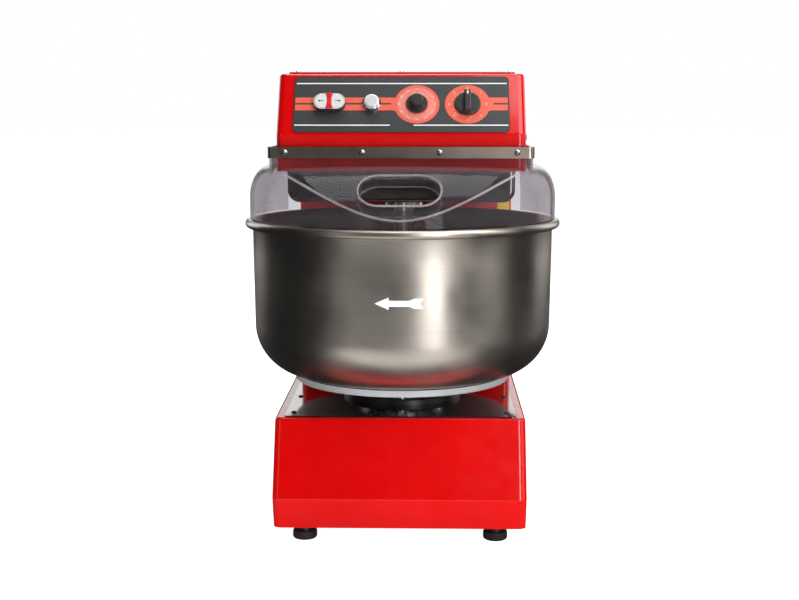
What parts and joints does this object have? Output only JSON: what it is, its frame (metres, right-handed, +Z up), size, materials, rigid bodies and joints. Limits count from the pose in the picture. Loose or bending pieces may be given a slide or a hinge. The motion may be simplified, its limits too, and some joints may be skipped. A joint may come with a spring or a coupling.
{
  "type": "commercial spiral dough mixer",
  "caption": "Floor-standing commercial dough mixer: red body, turning stainless bowl, spiral and breaker bar under a hinged clear lid, sloping control panel",
  "frame": {"origin": "on the floor, under the middle of the machine's outline", "axes": "+Z up, +X to the operator's right, the operator and the control panel at -Y"},
  "size_m": [0.5289, 0.829, 0.7462],
  "materials": {
    "red_paint": "glossy powder coat",
    "stainless": "brushed stainless steel",
    "dark_stainless": "bright-rolled stainless steel",
    "satin_steel": "ground steel",
    "zinc_steel": "bright zinc plating",
    "black_steel": "black semi-matt paint",
    "black_iron": "black painted casting",
    "grey_aluminium": "grey painted casting",
    "bright_ring": "machined",
    "black_plastic": "moulded, semi-matt",
    "panel_film": "printed film",
    "chrome_trim": "chrome plating",
    "white_plastic": "moulded, gloss",
    "red_plastic": "moulded, gloss",
    "clear_plastic": "clear polycarbonate",
    "rubber": "matt"
  },
  "bodies": {
    "frame": {"base_shell": "red_paint", "bearing_flange_bolts": "zinc_steel", "bearing_rings": "satin_steel", "bowl_bearing_cap": "bright_ring", "bowl_bearing_housing": "black_iron", "breaker_bar": "stainless", "button_bezel": "black_plastic", "cable_gland": "black_plastic", "chrome_button_ring": "chrome_trim", "column_shell": "red_paint", "control_box": "black_plastic", "control_panel": "panel_film", "cover_screws": "zinc_steel", "deck_plate": "dark_stainless", "deck_screws": "black_steel", "drive_chains": "satin_steel", "foot_locknuts": "zinc_steel", "foot_pads": "rubber", "foot_studs": "zinc_steel", "gearmotor": "grey_aluminium", "head_frame": "black_steel", "head_frame_bolts": "zinc_steel", "head_shell": "red_paint", "head_top_cover": "red_paint", "head_underpan": "dark_stainless", "lid_hinge_pins": "satin_steel", "lid_switch": "black_plastic", "main_frame": "black_steel", "motor_bracket": "black_steel", "motor_fan_cover": "black_plastic", "motor_terminal_box": "black_plastic", "rear_cover": "stainless", "selector_body": "black_plastic", "side_plate": "stainless", "side_switch_block": "black_plastic", "spiral_bearing_housing": "black_iron", "spiral_seal": "rubber", "timer_body": "black_plastic"},
    "bowl": {"bowl": "stainless", "bowl_support_disc": "satin_steel", "bowl_shaft": "satin_steel", "bowl_disc_bolts": "zinc_steel", "bowl_sprocket": "satin_steel"},
    "spiral": {"spiral_hook": "stainless", "spiral_shaft": "satin_steel"},
    "lay_shaft": {"countershaft": "satin_steel", "countershaft_sprockets": "satin_steel"},
    "main_shaft": {"drive_shaft": "satin_steel", "drive_sprockets": "satin_steel"},
    "lid": {"lid_dome": "clear_plastic", "lid_bar": "stainless", "lid_bar_screws": "zinc_steel"},
    "left_button": {"left_button": "white_plastic"},
    "right_button": {"right_button": "white_plastic"},
    "stop_bar": {"stop_bar": "red_plastic"},
    "chrome_button": {"chrome_button": "chrome_trim"},
    "timer_knob": {"timer_knob": "black_plastic"},
    "selector_knob": {"selector_knob": "black_plastic"},
    "side_knob": {"side_knob": "black_plastic"},
    "side_button": {"side_button": "chrome_trim"}
  },
  "joints": [
    {"name": "bowl_spin", "type": "hinge", "parent": "frame", "child": "bowl", "pos_m": [0, -0.15, 0.24], "axis": [0, 0, 1], "continuous": true},
    {"name": "spiral_spin", "type": "hinge", "parent": "frame", "child": "spiral", "pos_m": [0, -0.025, 0.55], "axis": [0, 0, 1], "continuous": true},
    {"name": "lay_shaft_spin", "type": "hinge", "parent": "frame", "child": "lay_shaft", "pos_m": [0, 0.075, 0.11], "axis": [0, 0, 1], "continuous": true},
    {"name": "main_shaft_spin", "type": "hinge", "parent": "frame", "child": "main_shaft", "pos_m": [0, 0.25, 0.4], "axis": [0, 0, 1], "continuous": true},
    {"name": "lid_hinge", "type": "hinge", "parent": "frame", "child": "lid", "pos_m": [0, 0, 0.638], "axis": [-1, 0, 0], "range_deg": [0, 62]},
    {"name": "left_press", "type": "slide", "parent": "frame", "child": "left_button", "axis": [0, 0.8444, -0.5357], "range_m": [0, 0.003], "stiffness_N_per_m": 900, "springref_m": -0.002},
    {"name": "right_press", "type": "slide", "parent": "frame", "child": "right_button", "axis": [0, 0.8444, -0.5357], "range_m": [0, 0.003], "stiffness_N_per_m": 900, "springref_m": -0.002},
    {"name": "stop_press", "type": "slide", "parent": "frame", "child": "stop_bar", "axis": [0, 0.8444, -0.5357], "range_m": [0, 0.003], "stiffness_N_per_m": 900, "springref_m": -0.002},
    {"name": "chrome_press", "type": "slide", "parent": "frame", "child": "chrome_button", "axis": [0, 0.8444, -0.5357], "range_m": [0, 0.004], "stiffness_N_per_m": 900, "springref_m": -0.002},
    {"name": "timer_turn", "type": "hinge", "parent": "frame", "child": "timer_knob", "pos_m": [0.025, -0.24794, 0.69586], "axis": [0, 0.8444, -0.5357], "range_deg": [0, 300]},
    {"name": "selector_turn", "type": "hinge", "parent": "frame", "child": "selector_knob", "pos_m": [0.1065, -0.24794, 0.69586], "axis": [0, 0.8444, -0.5357], "range_deg": [-60, 60]},
    {"name": "side_knob_turn", "type": "hinge", "parent": "frame", "child": "side_knob", "pos_m": [0.204, -0.123, 0.688], "axis": [-1, 0, 0], "range_deg": [0, 90]},
    {"name": "side_press", "type": "slide", "parent": "frame", "child": "side_button", "axis": [-1, 0, 0], "range_m": [0, 0.0025], "stiffness_N_per_m": 900, "springref_m": -0.002}
  ],
  "couplings": [
    {"joint": "spiral_spin", "follows": "bowl_spin", "ratio": 8},
    {"joint": "lay_shaft_spin", "follows": "bowl_spin", "ratio": 4},
    {"joint": "main_shaft_spin", "follows": "bowl_spin", "ratio": 12}
  ]
}
